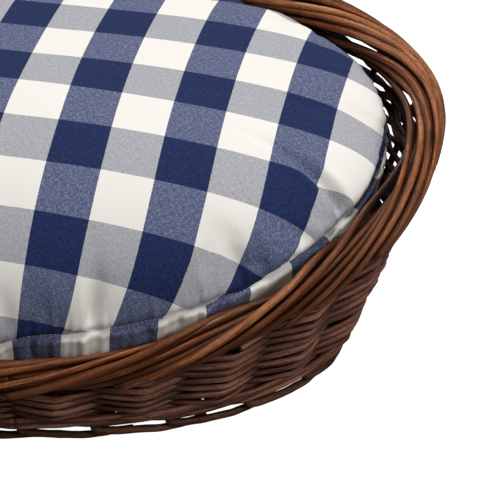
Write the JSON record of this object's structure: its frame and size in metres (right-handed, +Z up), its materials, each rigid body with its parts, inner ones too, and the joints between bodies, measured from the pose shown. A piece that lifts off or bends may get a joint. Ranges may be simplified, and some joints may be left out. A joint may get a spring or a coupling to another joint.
{
  "type": "pet bed basket",
  "caption": "Oval wicker pet bed with a low front, a rolled border and an open foot, holding a loose domed gingham cushion with a boxed edge.",
  "frame": {"origin": "centre of the bounding box in plan, on the surface the basket stands on", "axes": "+X along the long axis of the oval, -Y towards the low front where the pet steps in, +Z up"},
  "size_m": [0.6441, 0.439, 0.204],
  "materials": {
    "willow_border": "brown stained willow, satin",
    "willow_weave": "brown stained willow, satin",
    "willow_foot": "brown stained willow, satin",
    "willow_base": "brown stained willow, satin",
    "gingham_cotton": "woven navy and white check, matt",
    "fibre_filling": "matt",
    "sewing_thread": "matt"
  },
  "bodies": {
    "basket": {"foot_border": "willow_foot", "foot_stakes": "willow_foot", "long_base_sticks": "willow_base", "cross_base_sticks": "willow_base", "base_weave": "willow_base", "side_stakes": "willow_weave", "bottom_wale": "willow_weave", "side_weave": "willow_weave", "border_core": "willow_border", "border_rods": "willow_border"},
    "cushion": {"cushion_filling": "fibre_filling", "top_panel": "gingham_cotton", "boxing_strip": "gingham_cotton", "bottom_panel": "gingham_cotton", "top_seam": "sewing_thread", "bottom_seam": "sewing_thread"}
  },
  "joints": [
    {"name": "cushion_lift", "type": "slide", "parent": "basket", "child": "cushion", "axis": [0, 0, 1], "range_m": [0, 0.25]}
  ]
}
